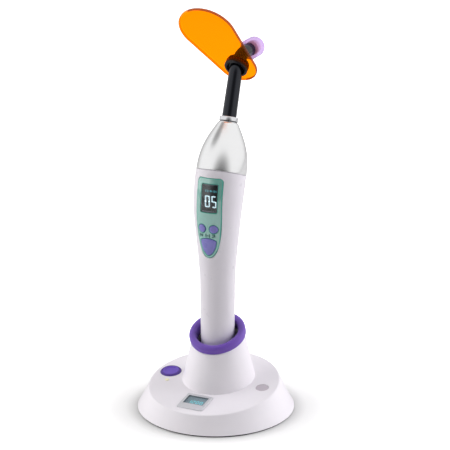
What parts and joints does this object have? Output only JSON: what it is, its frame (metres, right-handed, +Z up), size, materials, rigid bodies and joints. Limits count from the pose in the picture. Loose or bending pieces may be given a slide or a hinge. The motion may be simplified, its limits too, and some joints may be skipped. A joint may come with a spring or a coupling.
{
  "type": "dental curing light",
  "caption": "Cordless dental curing light with a bent light guide, orange eye shield and tip cap, standing in a round charging cradle with a sloping deck.",
  "frame": {"origin": "centre of the base's underside, on the surface it stands on", "axes": "+Z up along the upright handpiece, -Y to the front that carries the display and keys, +X to the user's right when facing the front"},
  "size_m": [0.112, 0.1243, 0.2837],
  "materials": {
    "white_shell": "gloss white",
    "foot_rubber": "matt black",
    "inner_grey": "moulded grey",
    "screw_steel": "zinc plated",
    "weight_steel": "bare steel",
    "board_green": "solder mask",
    "component_black": "moulded",
    "contact_brass": "gold plated",
    "purple_rubber": "matt purple",
    "purple_key": "satin purple",
    "frost": "frosted",
    "lamp": "clear yellow",
    "silver_frame": "silver white",
    "dark_screen": "polished",
    "lcd_cell": "dark teal",
    "mint": "satin mint",
    "window": "smoked",
    "battery_wrap": "shrink film",
    "nose_metal": "satin",
    "ring_metal": "polished",
    "sink_metal": "machined",
    "lens": "clear",
    "emitter": "phosphor",
    "ferrule_steel": "ground",
    "guide_black": "gloss black",
    "fibre": "polished end",
    "seal_rubber": "matt",
    "grommet_rubber": "satin black",
    "orange": "clear orange",
    "lavender": "translucent lavender"
  },
  "bodies": {
    "base": {"base_housing": "white_shell", "base_pad": "foot_rubber", "base_plate": "inner_grey", "base_screws": "screw_steel", "ballast": "weight_steel", "dc_jack": "component_black", "base_board": "board_green", "board_screws": "screw_steel", "base_switch": "component_black", "sensor_window": "frost", "photodiode": "component_black", "charge_lamp": "lamp", "lcd_bezel": "silver_frame", "lcd_glass": "dark_screen", "lcd_module": "lcd_cell", "cradle_collar": "white_shell", "collar_screws": "screw_steel", "cradle_ring": "purple_rubber", "cradle_cup": "inner_grey", "cup_screws": "screw_steel", "charging_board": "board_green", "pin_sleeves": "contact_brass"},
    "handpiece": {"grip_barrel": "white_shell", "tail_cap": "white_shell", "tail_contacts": "contact_brass", "panel_bezel": "mint", "display_window": "window", "inner_frame": "inner_grey", "battery": "battery_wrap", "battery_spring": "screw_steel", "battery_contact": "contact_brass", "control_board": "board_green", "tact_switches": "component_black", "display_module": "lcd_cell", "buzzer": "component_black", "nozzle": "nose_metal", "guide_socket": "ring_metal", "heat_sink": "sink_metal", "led_board": "board_green", "led_emitter": "emitter", "collimator_lens": "lens"},
    "seal": {"guide_seal": "seal_rubber"},
    "guide": {"light_guide": "guide_black", "guide_core": "fibre", "guide_ferrule": "ferrule_steel", "shield_grommet": "grommet_rubber"},
    "shield": {"eye_shield": "orange"},
    "cap": {"tip_cap": "lavender"},
    "button": {"base_button": "purple_key"},
    "left_key": {"mode_key": "purple_key"},
    "right_key": {"time_key": "purple_key"},
    "power_key": {"power_button": "purple_key"},
    "centre_pin": {"charge_pin_centre": "contact_brass"},
    "ring_pin": {"charge_pin_ring": "contact_brass"}
  },
  "joints": [
    {"name": "handpiece_lift", "type": "slide", "parent": "base", "child": "handpiece", "axis": [0, 0, 1], "range_m": [0, 0.06]},
    {"name": "guide_pull", "type": "slide", "parent": "handpiece", "child": "seal", "axis": [0, 0.3322, 0.9432], "range_m": [0, 0.025]},
    {"name": "guide_turn", "type": "hinge", "parent": "seal", "child": "guide", "pos_m": [0, 0.0193, 0.19885], "axis": [0, 0.3322, 0.9432], "continuous": true},
    {"name": "shield_turn", "type": "hinge", "parent": "guide", "child": "shield", "pos_m": [0, 0.03478, 0.24038], "axis": [0, 0.7923, 0.6101], "continuous": true},
    {"name": "cap_pull", "type": "slide", "parent": "guide", "child": "cap", "axis": [0, 0.998, 0.0628], "range_m": [0, 0.018]},
    {"name": "mode_key_press", "type": "slide", "parent": "handpiece", "child": "left_key", "axis": [0, 1, 0], "range_m": [0, 0.0006], "stiffness_N_per_m": 500, "springref_m": -0.0006},
    {"name": "time_key_press", "type": "slide", "parent": "handpiece", "child": "right_key", "axis": [0, 1, 0], "range_m": [0, 0.0006], "stiffness_N_per_m": 500, "springref_m": -0.0006},
    {"name": "power_press", "type": "slide", "parent": "handpiece", "child": "power_key", "axis": [0, 1, 0], "range_m": [0, 0.0006], "stiffness_N_per_m": 500, "springref_m": -0.0006},
    {"name": "base_button_press", "type": "slide", "parent": "base", "child": "button", "axis": [0, 0.1357, -0.9907], "range_m": [0, 0.0006], "stiffness_N_per_m": 500, "springref_m": -0.0006},
    {"name": "centre_pin_press", "type": "slide", "parent": "base", "child": "centre_pin", "axis": [0, 0, -1], "range_m": [0, 0.0008], "stiffness_N_per_m": 300, "springref_m": -0.0008},
    {"name": "ring_pin_press", "type": "slide", "parent": "base", "child": "ring_pin", "axis": [0, 0, -1], "range_m": [0, 0.0008], "stiffness_N_per_m": 300, "springref_m": -0.0008}
  ]
}
